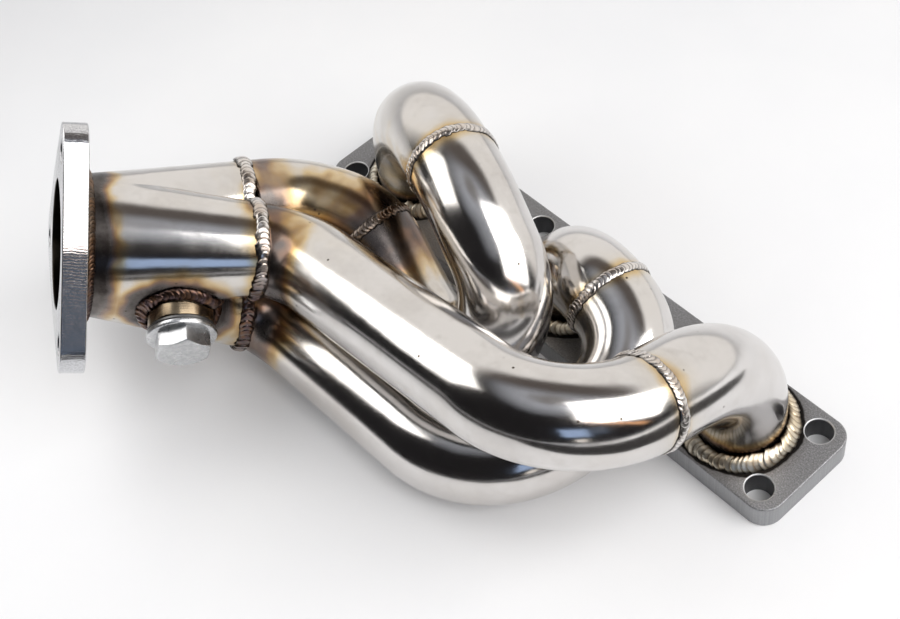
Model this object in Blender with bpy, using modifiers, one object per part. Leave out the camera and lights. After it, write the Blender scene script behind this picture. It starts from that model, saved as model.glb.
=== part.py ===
"""Three-port tubular exhaust manifold: two flanges, three bent runners, a merge collector, welds and a plugged sensor bung.

Metres, +Z up, gasket face of the head flange on z = 0. The dimensions below are taken from the middle port's
centre; at the end everything moves half a port pitch along +X, so that the origin lies on the flange's metal.
"""
import math

import bmesh
import bpy
from mathutils import Matrix, Vector

MM = 0.001

# ---- head flange
HEAD_L = 271.6 * MM
HEAD_W = 53.6 * MM
HEAD_T = 12.0 * MM
HEAD_CORNER_R = 9.0 * MM
HEAD_BOLT_R = 5.7 * MM
HEAD_BOLT_X = 124.5 * MM
HEAD_BOLT_Y = 17.9 * MM
HEAD_MID_X = 34.8 * MM
HEAD_MID_Y = 17.7 * MM
PORT_PITCH = 98.0 * MM

# ---- tube
TUBE_R = 19.05 * MM
TUBE_WALL = 2.0 * MM
TUBE_SIDES = 20
BEND_STEP = math.radians(12.0)
GAP = 0.3 * MM
CUT_MARGIN = 3.2 * MM
WELD_W = 6.0 * MM
WELD_H = 2.0 * MM
PORT_WELD_R = 25.3 * MM
PORT_WELD_H = 4.6 * MM

# ---- outlet end: centre of the outlet flange's outer face, its normal and its two in-plane axes
OUT_C = Vector((-129.7, -160.0, 81.5)) * MM
OUT_N = Vector((-0.4768, -0.8006, 0.3630)).normalized()
OUT_V = Vector((0.4516, -0.5773, -0.6803))
OUT_V = (OUT_V - OUT_V.dot(OUT_N) * OUT_N).normalized()
OUT_W = OUT_V.cross(OUT_N)
OUT_T = 10.0 * MM
OUT_BORE_R = 27.0 * MM
OUT_PITCH_R = 44.2 * MM
OUT_LOBE_R = 11.6 * MM
OUT_WAIST_R = 35.6 * MM
OUT_BOLT_R = 5.3 * MM
OUT_WELD_R = 33.2 * MM
OUT_WELD_H = 4.0 * MM

# ---- collector
COLLECTOR_R = 29.0 * MM
COLLECTOR_WALL = 2.0 * MM
INLET_BACK = 80.0 * MM
INLET_BEAD_L = 5.7 * MM
WEB_R = 15.5 * MM
CONE_SIDES = 54

# ---- sensor bung and plug, on an axis square to the collector
BUNG_BACK = 48.7 * MM
BUNG_DIR = Vector((0.7981, -0.5673, -0.2030))
BUNG_DIR = (BUNG_DIR - BUNG_DIR.dot(OUT_N) * OUT_N).normalized()
BUNG_R = 13.5 * MM
BUNG_BORE_R = 9.15 * MM
BUNG_TOP = 38.6 * MM
BUNG_ROOT = 24.5 * MM
PLUG_SHANK_R = 8.85 * MM
PLUG_FLANGE_R = 14.45 * MM
PLUG_FLANGE_T = 2.4 * MM
PLUG_HEX_AF = 21.0 * MM
PLUG_HEX_H = 7.4 * MM
WASHER_R = 13.9 * MM
WASHER_T = 1.4 * MM
PLUG_TURN = math.radians(30.0)

# ---- runner centrelines: corner points in millimetres, and the bend radius at each inner corner
PORT_TOP = HEAD_T / MM + 0.3
RUNNER_1 = (
    [(98, 0, PORT_TOP), (98, 0, 61.5), (96.5, -90.5, 94.3), (-65.5, -88.8, 63.4), (-96.6, -121.5, 77.9)],
    [55.6, 40.5, 33.4],
)
RUNNER_2 = (
    [(0, 0, PORT_TOP), (0, 0, 46), (67.3, -12.5, 35.0), (50.4, -96.2, 19.5), (-76.2, -99.5, 20.4),
     (-103.4, -120.9, 50.1)],
    [27.0, 33.0, 47.2, 32.8],
)
RUNNER_3 = (
    [(-98, 0, PORT_TOP), (-98, 0, 73.3), (-25.8, -26.9, 87.5), (30.7, -46.9, 52.9), (-15.5, -62.0, 12.6),
     (-73.3, -47.8, 41.9), (-103.4, -62.6, 46.2), (-115.1, -106.7, 67.5)],
    [66.0, 57.2, 29.0, 36.0, 38.0, 34.0],
)
# ---- arc lengths along each runner at which it is cut and welded
RUNNER_1_CUTS = [93.9 * MM]
RUNNER_2_CUTS = [50.5 * MM]
RUNNER_3_CUTS = [108.6 * MM, 283.5 * MM]


def clear_scene():
    for obj in list(bpy.data.objects):
        bpy.data.objects.remove(obj, do_unlink=True)
    for coll in list(bpy.data.collections):
        bpy.data.collections.remove(coll)


def collection(name):
    coll = bpy.data.collections.new(name)
    bpy.context.scene.collection.children.link(coll)
    return coll


def material(name, color, rough):
    mat = bpy.data.materials.new(name)
    mat.use_nodes = True
    shader = mat.node_tree.nodes["Principled BSDF"]
    shader.inputs["Base Color"].default_value = (*color, 1.0)
    shader.inputs["Metallic"].default_value = 1.0
    shader.inputs["Roughness"].default_value = rough
    return mat


def add_object(name, mesh, coll, mat=None, smooth=True):
    obj = bpy.data.objects.new(name, mesh)
    coll.objects.link(obj)
    if mat is not None:
        mesh.materials.clear()
        mesh.materials.append(mat)
    for poly in mesh.polygons:
        poly.use_smooth = smooth
    return obj


def evaluated_mesh(obj, name):
    graph = bpy.context.evaluated_depsgraph_get()
    mesh = bpy.data.meshes.new_from_object(obj.evaluated_get(graph))
    mesh.name = name
    bm = bmesh.new()
    bm.from_mesh(mesh)
    bmesh.ops.remove_doubles(bm, verts=bm.verts, dist=1e-6)
    bmesh.ops.recalc_face_normals(bm, faces=bm.faces)
    bm.to_mesh(mesh)
    bm.free()
    return mesh


def boolean(obj, other, operation):
    mod = obj.modifiers.new(operation.lower(), "BOOLEAN")
    mod.object = other
    mod.operation = operation
    mod.solver = "EXACT"
    return mod


def frame_matrix(origin, x_axis, y_axis, z_axis):
    rot = Matrix((x_axis, y_axis, z_axis)).transposed().to_4x4()
    return Matrix.Translation(origin) @ rot


def facing(origin, z_axis, hint=Vector((0, 0, 1))):
    """A frame at origin whose z runs along z_axis."""
    z_axis = z_axis.normalized()
    if abs(z_axis.dot(hint)) > 0.95:
        hint = Vector((1, 0, 0))
    x_axis = (hint - hint.dot(z_axis) * z_axis).normalized()
    return frame_matrix(origin, x_axis, z_axis.cross(x_axis), z_axis)


def centreline(runner):
    """Points along straights and true arcs through the corner points, in metres."""
    corners = [Vector(c) * MM for c in runner[0]]
    radii = [r * MM for r in runner[1]]
    points = [corners[0]]
    for i, radius in enumerate(radii, start=1):
        into = (corners[i - 1] - corners[i]).normalized()
        out = (corners[i + 1] - corners[i]).normalized()
        turn = math.pi - into.angle(out)
        reach = radius * math.tan(turn / 2)
        start = corners[i] + into * reach
        middle = corners[i] + (into + out).normalized() * (radius / math.cos(turn / 2))
        steps = max(3, math.ceil(turn / BEND_STEP))
        across = (start - middle).normalized()
        for k in range(steps + 1):
            ang = turn * k / steps
            points.append(middle + radius * (math.cos(ang) * across - math.sin(ang) * into))
    points.append(corners[-1])
    return points


def lengths(points):
    total = [0.0]
    for a, b in zip(points, points[1:]):
        total.append(total[-1] + (b - a).length)
    return total


def at_length(points, s):
    total = lengths(points)
    for i in range(len(points) - 1):
        if total[i + 1] >= s:
            t = (s - total[i]) / (total[i + 1] - total[i])
            return points[i].lerp(points[i + 1], t), (points[i + 1] - points[i]).normalized()
    return points[-1], (points[-1] - points[-2]).normalized()


def square_cut(points, s):
    """The arc length nearest s that is far enough from a corner of the line for a square end."""
    total = lengths(points)
    for s0, s1 in zip(total, total[1:]):
        if s0 <= s <= s1:
            margin = min(CUT_MARGIN, (s1 - s0) / 2)
            return min(max(s, s0 + margin), s1 - margin)
    return s


def section_of(points, s0, s1):
    """The part of a centreline between two arc lengths."""
    total = lengths(points)
    inner = [p for p, s in zip(points, total) if s0 + 0.8 * MM < s < s1 - 0.8 * MM]
    return [at_length(points, s0)[0], *inner, at_length(points, s1)[0]]


def rod(name, points, radius, coll, sides=TUBE_SIDES):
    """A capped round bar along the points."""
    curve = bpy.data.curves.new(name, "CURVE")
    curve.dimensions = "3D"
    curve.bevel_depth = radius
    curve.bevel_resolution = (sides - 4) // 2
    curve.use_fill_caps = True
    curve.twist_mode = "MINIMUM"
    spline = curve.splines.new("POLY")
    spline.points.add(len(points) - 1)
    for sp, p in zip(spline.points, points):
        sp.co = (*p, 1.0)
    temp = bpy.data.objects.new(name + "_curve", curve)
    coll.objects.link(temp)
    mesh = evaluated_mesh(temp, name)
    bpy.data.objects.remove(temp, do_unlink=True)
    return mesh


def tube(name, points, coll, cutters, mat, ends=None):
    """A pipe: a bar with a smaller bar taken out of it, and an end trimmed by a block if one is given."""
    obj = add_object(name, rod(name, points, TUBE_R, coll), coll, mat)
    first = points[0] + (points[0] - points[1]).normalized() * 2 * MM
    last = points[-1] + (points[-1] - points[-2]).normalized() * 2 * MM
    core = add_object(
        name + "_core", rod(name + "_core", [first, *points[1:-1], last], TUBE_R - TUBE_WALL, cutters), cutters
    )
    boolean(obj, core, "DIFFERENCE")
    if ends is not None:
        boolean(obj, ends, "DIFFERENCE")
    return obj


def turned(name, profile, coll, mat, matrix, steps=32):
    """A ring or disc turned from a closed (r, z) profile."""
    mesh = bpy.data.meshes.new(name)
    bm = bmesh.new()
    verts = [bm.verts.new((r, 0.0, z)) for r, z in profile]
    n = len(verts)
    on_axis = profile[0][0] < 1e-9 and profile[-1][0] < 1e-9
    for i in range(n if not on_axis else n - 1):
        bm.edges.new((verts[i], verts[(i + 1) % n]))
    bm.to_mesh(mesh)
    bm.free()
    temp = bpy.data.objects.new(name + "_profile", mesh)
    coll.objects.link(temp)
    screw = temp.modifiers.new("turn", "SCREW")
    screw.steps = steps
    screw.render_steps = steps
    screw.use_merge_vertices = True
    screw.merge_threshold = 1e-6
    solid = evaluated_mesh(temp, name)
    bpy.data.objects.remove(temp, do_unlink=True)
    obj = add_object(name, solid, coll, mat)
    obj.matrix_world = matrix
    return obj


def plate(name, outline, holes, thickness, coll, mat, matrix):
    """A flat plate from an outline and round holes, (x, y, radius), standing on z = 0."""
    curve = bpy.data.curves.new(name, "CURVE")
    curve.dimensions = "2D"
    curve.fill_mode = "BOTH"
    curve.extrude = thickness / 2
    rings = [outline]
    for x, y, r in holes:
        count = 40 if r > 12 * MM else 20
        angles = [2 * math.pi * k / count for k in range(count)]
        rings.append([(x + r * math.cos(a), y + r * math.sin(a)) for a in angles])
    for ring in rings:
        spline = curve.splines.new("POLY")
        spline.points.add(len(ring) - 1)
        spline.use_cyclic_u = True
        for sp, (x, y) in zip(spline.points, ring):
            sp.co = (x, y, thickness / 2, 1.0)
    temp = bpy.data.objects.new(name + "_curve", curve)
    coll.objects.link(temp)
    mesh = evaluated_mesh(temp, name)
    bpy.data.objects.remove(temp, do_unlink=True)
    low = min(v.co.z for v in mesh.vertices)
    mesh.transform(Matrix.Translation((0, 0, -low)))
    obj = add_object(name, mesh, coll, mat, smooth=False)
    obj.matrix_world = matrix
    return obj


def rounded_rectangle(length, width, radius, steps=6):
    pts = []
    corners = ((1, 1, 0), (-1, 1, 90), (-1, -1, 180), (1, -1, 270))
    for sx, sy, start in corners:
        cx = sx * (length / 2 - radius)
        cy = sy * (width / 2 - radius)
        for k in range(steps + 1):
            a = math.radians(start + 90 * k / steps)
            pts.append((cx + radius * math.cos(a), cy + radius * math.sin(a)))
    return pts


def three_lobe_outline():
    """Lobes round three bolts, joined by the waist circle. Lobe 0 points along +y of the flange frame."""
    pts = []
    half = math.acos((OUT_WAIST_R - OUT_LOBE_R) / OUT_PITCH_R)
    for lobe in range(3):
        mid = math.radians(90 + 120 * lobe)
        cx = OUT_PITCH_R * math.cos(mid)
        cy = OUT_PITCH_R * math.sin(mid)
        for k in range(11):
            a = mid - half + 2 * half * k / 10
            pts.append((cx + OUT_LOBE_R * math.cos(a), cy + OUT_LOBE_R * math.sin(a)))
        for k in range(3):
            a = mid + half + (math.radians(120) - 2 * half) * k / 2
            pts.append((OUT_WAIST_R * math.cos(a), OUT_WAIST_R * math.sin(a)))
    return pts


def tube_oval(line, level):
    """Where a centreline crosses a plane square to the outlet: its (v, w) point, in-plane slope and tilt."""
    depths = [(p - OUT_C).dot(OUT_N) + INLET_BACK - level for p in line]
    i = max(k for k in range(len(line) - 1) if depths[k] < 0)
    rel = line[i].lerp(line[i + 1], depths[i] / (depths[i] - depths[i + 1])) - OUT_C
    direction = (line[i + 1] - line[i]).normalized()
    slope = Vector((direction.dot(OUT_V), direction.dot(OUT_W)))
    return Vector((rel.dot(OUT_V), rel.dot(OUT_W))), slope, direction.dot(OUT_N)


def ray_exit(origin, ray, centre, radius, slope, tilt, stretch):
    """Distance along a ray to the far side of an oval: a round bar cut aslant, less so as stretch falls to 0."""
    along = slope.normalized()
    across = Vector((-along.y, along.x))
    long_r = radius * (1 + stretch * (1 / tilt - 1))
    rel = origin - centre
    px, py = rel.dot(along) / long_r, rel.dot(across) / radius
    dx, dy = ray.dot(along) / long_r, ray.dot(across) / radius
    qa = dx * dx + dy * dy
    qb = px * dx + py * dy
    disc = qb * qb - qa * (px * px + py * py - 1)
    if disc < 0:
        return 0.0
    return (-qb + math.sqrt(disc)) / qa


def lobed_ring(level, grow):
    """Outline of the three merging pipes at a distance past the inlet plane, grown by an offset."""
    t = min(1.0, max(0.0, level / (INLET_BACK - OUT_T)))
    ovals = [tube_oval(centreline(r), min(0.0, level)) for r in (RUNNER_1, RUNNER_2, RUNNER_3)]
    hub = (ovals[0][0] + ovals[1][0] + ovals[2][0]) / 3 * (1 - t)
    ring = []
    for k in range(CONE_SIDES):
        ang = 2 * math.pi * k / CONE_SIDES
        ray = Vector((math.cos(ang), math.sin(ang)))
        far = WEB_R + grow
        for centre, slope, tilt in ovals:
            radius = TUBE_R + (COLLECTOR_R - TUBE_R) * t + grow
            far = max(far, ray_exit(hub, ray, centre * (1 - t), radius, slope, tilt, 1 - t))
        point = hub + ray * far
        ring.append(OUT_C + OUT_V * point.x + OUT_W * point.y + OUT_N * (level - INLET_BACK))
    return ring


def lobed_shell(name, loop, coll, mat=None):
    """A ring-shaped solid whose section is a closed loop of (distance past the inlet plane, offset) pairs."""
    bm = bmesh.new()
    rings = [[bm.verts.new(p) for p in lobed_ring(level, grow)] for level, grow in loop]
    for i, low in enumerate(rings):
        high = rings[(i + 1) % len(rings)]
        for k in range(CONE_SIDES):
            j = (k + 1) % CONE_SIDES
            bm.faces.new((low[k], high[k], high[j], low[j]))
    mesh = bpy.data.meshes.new(name)
    bm.to_mesh(mesh)
    bm.free()
    return add_object(name, mesh, coll, mat)


def prism(name, sides, radius, z0, z1, coll, matrix, turn=0.0):
    bm = bmesh.new()
    low = []
    high = []
    for k in range(sides):
        a = turn + 2 * math.pi * k / sides
        low.append(bm.verts.new((radius * math.cos(a), radius * math.sin(a), z0)))
        high.append(bm.verts.new((radius * math.cos(a), radius * math.sin(a), z1)))
    for k in range(sides):
        j = (k + 1) % sides
        bm.faces.new((low[k], low[j], high[j], high[k]))
    bm.faces.new(list(reversed(low)))
    bm.faces.new(high)
    mesh = bpy.data.meshes.new(name)
    bm.to_mesh(mesh)
    bm.free()
    obj = add_object(name, mesh, coll)
    obj.matrix_world = matrix
    return obj


def weld_ring(name, points, s, coll, mat):
    """A low rounded bead round a runner at an arc length."""
    centre, direction = at_length(points, s)
    inner = TUBE_R + 1.8 * GAP
    w = WELD_W / 2
    profile = [
        (inner, w), (inner + 0.45 * WELD_H, w * 0.93), (inner + 0.85 * WELD_H, w * 0.5), (inner + WELD_H, 0.0),
        (inner + 0.85 * WELD_H, -w * 0.5), (inner + 0.45 * WELD_H, -w * 0.93), (inner, -w),
    ]
    return turned(name, profile, coll, mat, facing(centre, direction), 24)


def fillet_ring(name, inner, outer, height, coll, mat, matrix, steps):
    leg = outer - inner
    profile = [
        (inner, height), (inner + 0.16 * leg, height), (inner + 0.5 * leg, 0.62 * height),
        (inner + 0.9 * leg, 0.3 * height), (outer, 0.0), (inner, 0.0),
    ]
    return turned(name, profile, coll, mat, matrix, steps)


def build():
    clear_scene()
    parts = collection("exhaust_manifold")
    cutters = collection("cutters")

    steel = material("flange_steel", (0.23, 0.23, 0.24), 0.45)
    outlet_steel = material("outlet_flange_steel", (0.55, 0.56, 0.58), 0.35)
    pipe = material("pipe_stainless", (0.62, 0.59, 0.55), 0.22)
    weld = material("weld_bead", (0.60, 0.57, 0.53), 0.35)
    port_weld = material("port_weld_bead", (0.58, 0.45, 0.27), 0.38)
    bung_mat = material("bung_steel", (0.55, 0.52, 0.47), 0.3)
    zinc = material("plug_zinc", (0.78, 0.79, 0.80), 0.25)
    washer_mat = material("washer_metal", (0.35, 0.35, 0.36), 0.4)

    # head flange, gasket face on z = 0
    holes = [(PORT_PITCH * i, 0.0, TUBE_R - TUBE_WALL) for i in (-1, 0, 1)]
    for sx in (-1, 1):
        for sy in (-1, 1):
            holes.append((sx * HEAD_BOLT_X, sy * HEAD_BOLT_Y, HEAD_BOLT_R))
            holes.append((sx * HEAD_MID_X, sy * HEAD_MID_Y, HEAD_BOLT_R))
    outline = rounded_rectangle(HEAD_L, HEAD_W, HEAD_CORNER_R)
    plate("head_flange", outline, holes, HEAD_T, parts, steel, Matrix.Identity(4))

    # outlet flange, drawn from its outer face inwards
    holes = [(0.0, 0.0, OUT_BORE_R)]
    for lobe in range(3):
        a = math.radians(90 + 120 * lobe)
        holes.append((OUT_PITCH_R * math.cos(a), OUT_PITCH_R * math.sin(a), OUT_BOLT_R))
    flange_frame = frame_matrix(OUT_C - OUT_N * OUT_T, OUT_W.cross(OUT_N), OUT_W, OUT_N)
    plate("outlet_flange", three_lobe_outline(), holes, OUT_T, parts, outlet_steel, flange_frame)

    # the block that trims the runners on the collector's inlet plane
    inlet_frame = frame_matrix(OUT_C - OUT_N * (INLET_BACK + GAP), OUT_W, OUT_V, OUT_N)
    trim = prism("inlet_trim", 4, 120 * MM, 0.0, 60 * MM, cutters, inlet_frame, math.radians(45))

    # runners
    for number, runner, cuts, names in (
        (1, RUNNER_1, RUNNER_1_CUTS, ("runner_1_elbow", "runner_1_sweep")),
        (2, RUNNER_2, RUNNER_2_CUTS, ("runner_2_elbow", "runner_2_sweep")),
        (3, RUNNER_3, RUNNER_3_CUTS, ("runner_3_elbow", "runner_3_return_bend", "runner_3_sweep")),
    ):
        line = centreline(runner)
        total = lengths(line)[-1]
        cuts = [square_cut(line, cut) for cut in cuts]
        edges = [0.0]
        for cut in cuts:
            edges += [cut - GAP / 2, cut + GAP / 2]
        edges.append(total)
        for i, name in enumerate(names):
            piece = section_of(line, edges[2 * i], edges[2 * i + 1])
            last = i == len(names) - 1
            tube(name, piece, parts, cutters, pipe, trim if last else None)
        for i, cut in enumerate(cuts):
            suffix = "" if i == 0 else "_b"
            weld_ring(f"runner_{number}_weld{suffix}", line, cut, parts, weld)
        x = PORT_PITCH * {1: 1, 2: 0, 3: -1}[number]
        foot = Matrix.Translation((x, 0.0, HEAD_T + GAP))
        fillet_ring(f"port_{number}_weld", TUBE_R + 2 * GAP, PORT_WELD_R, PORT_WELD_H, parts, port_weld, foot, 32)

    # collector: one lobed shell, drilled for the bung
    end = INLET_BACK - OUT_T - GAP
    levels = [0.0, 0.5 * INLET_BEAD_L, INLET_BEAD_L, 0.3 * end, 0.55 * end, 0.8 * end, end]
    loop = [(level, 0.0) for level in levels] + [(level, -COLLECTOR_WALL) for level in reversed(levels)]
    body = lobed_shell("collector", loop, parts, pipe)
    bung_base = OUT_C - OUT_N * BUNG_BACK
    bung_frame = frame_matrix(bung_base, OUT_N, BUNG_DIR.cross(OUT_N), BUNG_DIR)
    drill = prism("bung_drill", 32, BUNG_R + GAP, 12 * MM, 60 * MM, cutters, bung_frame)
    boolean(body, drill, "DIFFERENCE")

    # bead along the collector's inlet edge
    w = INLET_BEAD_L
    top = GAP + WELD_H
    seat = 1.5 * GAP
    loop = [(0.5 * w, 2 * seat), (0.0, 2 * seat), (0.0, 0.75 * top), (0.2 * w, top), (0.55 * w, top),
            (0.85 * w, 0.7 * top), (w, 2 * seat)]
    lobed_shell("collector_inlet_weld", loop, parts, weld)

    # bead between the collector and the outlet flange
    foot = OUT_WELD_R - COLLECTOR_R
    h = OUT_WELD_H
    loop = [(end, seat), (end - h, seat), (end - h, seat + 0.16 * foot), (end - 0.62 * h, seat + 0.45 * foot),
            (end - 0.3 * h, 0.9 * foot), (end, foot)]
    lobed_shell("outlet_weld", loop, parts, port_weld)

    # bung, its saddle-shaped bead, washer and plug
    ring = [(BUNG_BORE_R, BUNG_ROOT), (BUNG_R, BUNG_ROOT), (BUNG_R, BUNG_TOP - 0.8 * MM),
            (BUNG_R - 0.8 * MM, BUNG_TOP), (BUNG_BORE_R, BUNG_TOP)]
    turned("sensor_bung", list(reversed(ring)), parts, bung_mat, bung_frame)

    loop = [(level, GAP + 2.6 * MM) for level in levels[:-1]] + [(level, GAP) for level in reversed(levels[:-1])]
    saddle = lobed_shell("saddle", loop, cutters)
    reach = prism("saddle_reach", 32, BUNG_R + 4.6 * MM, 12 * MM, 60 * MM, cutters, bung_frame)
    boolean(saddle, reach, "INTERSECT")
    boolean(saddle, drill, "DIFFERENCE")
    add_object("bung_weld", evaluated_mesh(saddle, "bung_weld"), parts, port_weld)

    seat_h = BUNG_TOP + GAP
    ring = [(PLUG_SHANK_R + GAP, seat_h + WASHER_T), (WASHER_R, seat_h + WASHER_T), (WASHER_R, seat_h),
            (PLUG_SHANK_R + GAP, seat_h)]
    turned("sealing_washer", ring, parts, washer_mat, bung_frame)

    under_flange = seat_h + WASHER_T + GAP
    top = under_flange + PLUG_FLANGE_T
    profile = [(0.0, top), (PLUG_FLANGE_R - 0.7 * MM, top), (PLUG_FLANGE_R, top - 0.7 * MM),
               (PLUG_FLANGE_R, under_flange), (PLUG_SHANK_R, under_flange), (PLUG_SHANK_R, BUNG_ROOT + 1.5 * MM),
               (PLUG_SHANK_R - 1.0 * MM, BUNG_ROOT + 0.5 * MM), (0.0, BUNG_ROOT + 0.5 * MM)]
    plug = turned("bung_plug", profile, cutters, zinc, bung_frame)
    hexagon = prism("plug_hex", 6, PLUG_HEX_AF / math.sqrt(3), top - 0.5 * MM, top + PLUG_HEX_H, cutters,
                    bung_frame, PLUG_TURN)
    boolean(plug, hexagon, "UNION")
    solid = add_object("bung_plug_solid", evaluated_mesh(plug, "bung_plug"), parts, zinc)
    solid.matrix_world = bung_frame
    bpy.data.objects.remove(plug, do_unlink=True)
    solid.name = "bung_plug"

    for obj in [*parts.objects, *cutters.objects]:
        obj.matrix_world = Matrix.Translation((PORT_PITCH / 2, 0.0, 0.0)) @ obj.matrix_world
    for obj in cutters.objects:
        obj.hide_render = True
        obj.display_type = "WIRE"


build()
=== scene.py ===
"""Looks for the exhaust manifold: polished tubes, rippled weld beads, steel flanges, a zinc-plated plug.

Metres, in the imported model's frame. The driving dimensions repeat the CAD's, in millimetres times MM.
"""
import itertools
import math

import bmesh
import bpy
import numpy as np
from mathutils import Matrix, Quaternion, Vector, kdtree, noise


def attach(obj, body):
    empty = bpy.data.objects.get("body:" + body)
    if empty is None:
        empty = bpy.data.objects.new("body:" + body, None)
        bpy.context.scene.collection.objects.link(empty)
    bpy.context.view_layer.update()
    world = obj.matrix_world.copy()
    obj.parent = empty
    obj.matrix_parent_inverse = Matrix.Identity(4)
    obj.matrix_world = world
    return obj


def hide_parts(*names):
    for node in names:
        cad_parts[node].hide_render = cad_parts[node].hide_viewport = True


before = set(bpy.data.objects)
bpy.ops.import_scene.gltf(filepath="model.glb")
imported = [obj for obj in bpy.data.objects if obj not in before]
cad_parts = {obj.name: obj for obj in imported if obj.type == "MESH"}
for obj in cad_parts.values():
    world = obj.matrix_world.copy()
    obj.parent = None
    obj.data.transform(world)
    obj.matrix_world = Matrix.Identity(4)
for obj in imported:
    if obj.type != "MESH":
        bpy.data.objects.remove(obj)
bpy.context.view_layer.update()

MM = 0.001
MAIN = "manifold"
ZERO = 1e-9
GAP = 0.3 * MM

# ---- head flange
HEAD_L = 271.6 * MM
HEAD_W = 53.6 * MM
HEAD_T = 12.0 * MM
HEAD_CORNER_R = 9.0 * MM
HEAD_EDGE = 0.7 * MM
HEAD_BOLT_R = 5.7 * MM
HEAD_BOLT_X = 124.5 * MM
HEAD_BOLT_Y = 17.9 * MM
HEAD_MID_X = 34.8 * MM
HEAD_MID_Y = 17.7 * MM
PORT_PITCH = 98.0 * MM
SHIFT = Vector((PORT_PITCH / 2, 0.0, 0.0))

# ---- tube
TUBE_R = 19.05 * MM
TUBE_WALL = 2.0 * MM
TUBE_SIDES = 72
BEND_STEP = math.radians(2.5)
STRAIGHT_STEP = 3.0 * MM
TUBE_STREAKS = 1.6

# ---- outlet end
OUT_C = Vector((-129.7, -160.0, 81.5)) * MM + SHIFT
OUT_N = Vector((-0.4768, -0.8006, 0.3630)).normalized()
OUT_V = Vector((0.4516, -0.5773, -0.6803))
OUT_V = (OUT_V - OUT_V.dot(OUT_N) * OUT_N).normalized()
OUT_W = OUT_V.cross(OUT_N)
OUT_T = 10.0 * MM
OUT_EDGE = 0.5 * MM
OUT_BORE_R = 27.0 * MM
OUT_PITCH_R = 44.2 * MM
OUT_LOBE_R = 11.6 * MM
OUT_WAIST_R = 35.6 * MM
OUT_BOLT_R = 5.3 * MM

# ---- collector; its creases are sharpest at the inlet, and the sweeps stop just inside the inlet plane
COLLECTOR_R = 29.0 * MM
INLET_BACK = 80.0 * MM
COLLECTOR_L = INLET_BACK - OUT_T
WEB_R = 15.5 * MM
CREASE_AT_OUTLET = 26.0
CREASE_ADDED = 70.0
COLLECTOR_STREAKS = 2.2
INLET_LAP = 1.5 * MM
INLET_CLEAR = 0.1 * MM

# ---- bung and plug
BUNG_BACK = 48.7 * MM
BUNG_BASE = OUT_C - OUT_N * BUNG_BACK
BUNG_DIR = Vector((0.7981, -0.5673, -0.2030))
BUNG_DIR = (BUNG_DIR - BUNG_DIR.dot(OUT_N) * OUT_N).normalized()
BUNG_ACROSS = BUNG_DIR.cross(OUT_N)
BUNG_R = 13.5 * MM
BUNG_BORE_R = 9.15 * MM
BUNG_TOP = 38.6 * MM
BUNG_ROOT = 24.5 * MM
BUNG_EDGE = 0.5 * MM
DRILL_FROM = 12.0 * MM
DRILL_TO = 60.0 * MM
PLUG_FLANGE_R = 14.45 * MM
PLUG_FLANGE_T = 2.4 * MM
PLUG_HEX_AF = 21.0 * MM
PLUG_HEX_H = 7.4 * MM
PLUG_SHANK_R = 8.85 * MM
PLUG_THREAD = 1.5 * MM
PLUG_TIP = 0.5 * MM
PLUG_TURN = math.radians(30.0)
WASHER_R = 13.9 * MM
WASHER_T = 1.4 * MM
WASHER_EDGE = 0.3 * MM

# ---- weld beads, in millimetres: width, height, length of one lap, height of its crest
BEAD_SIZES = {
    "runner": (5.0, 0.85, 2.0, 0.24),
    "port": (7.6, 1.3, 2.3, 0.13),
    "inlet": (6.4, 1.4, 2.4, 0.34),
    "outlet": (4.4, 0.8, 1.7, 0.24),
    "bung": (5.8, 1.5, 2.3, 0.30),
}
BEAD_COLUMNS = 17
BEAD_UNDER = 0.35 * MM
PORT_BEAD_R = 22.3 * MM
PORT_BEAD_LIFT = 2.1 * MM
INLET_BEAD_AT = 2.2 * MM
INLET_BEAD_LIFT = 0.2 * MM
OUTLET_BEAD_BACK = 1.6 * MM
OUTLET_BEAD_LIFT = 1.7 * MM
BUNG_BEAD_OUT = 2.3 * MM
BUNG_BEAD_LIFT = 1.2 * MM
FIRST_SEED = 11
SOOTED_WELD = "runner_3_weld_b"

# how uneven the laps are in height, width, place across and place along, and their bow and rise
LAP_SPREADS = (0.16, 0.09, 0.05, 0.13)
LAP_BOW = 0.95
LAP_RISE = 0.16
LAP_POINTS = 11

# heat tint round each weld: how far it reaches, in millimetres, and how strong it is at the weld
HEATS = {
    "runner": (6.0, 0.36),
    "soot": (26.0, 0.78),
    "port": (8.0, 1.6),
    "inlet": (5.0, 0.50),
    "merge": (11.0, 0.85),
    "outlet": (7.5, 1.7),
    "bung": (8.0, 1.2),
}
HEAT_FALL = 1.7
MERGE_HEAT_BACK = 7.0 * MM
BURNT_REACH = 42.0 * MM

# ---- runner centrelines: corner points and bend radii, in millimetres, from the middle port
PORT_TOP = (HEAD_T + GAP) / MM
RUNNERS = {
    1: (
        [(98, 0, PORT_TOP), (98, 0, 61.5), (96.5, -90.5, 94.3), (-65.5, -88.8, 63.4),
         (-96.6, -121.5, 77.9)],
        [55.6, 40.5, 33.4],
    ),
    2: (
        [(0, 0, PORT_TOP), (0, 0, 46), (67.3, -12.5, 35.0), (50.4, -96.2, 19.5),
         (-76.2, -99.5, 20.4), (-103.4, -120.9, 50.1)],
        [27.0, 33.0, 47.2, 32.8],
    ),
    3: (
        [(-98, 0, PORT_TOP), (-98, 0, 73.3), (-25.8, -26.9, 87.5), (30.7, -46.9, 52.9),
         (-15.5, -62.0, 12.6), (-73.3, -47.8, 41.9), (-103.4, -62.6, 46.2), (-115.1, -106.7, 67.5)],
        [66.0, 57.2, 29.0, 36.0, 38.0, 34.0],
    ),
}
PORT_X = {1: PORT_PITCH, 2: 0.0, 3: -PORT_PITCH}
CUTS = {1: [93.9 * MM], 2: [50.5 * MM], 3: [108.6 * MM, 283.5 * MM]}
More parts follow.
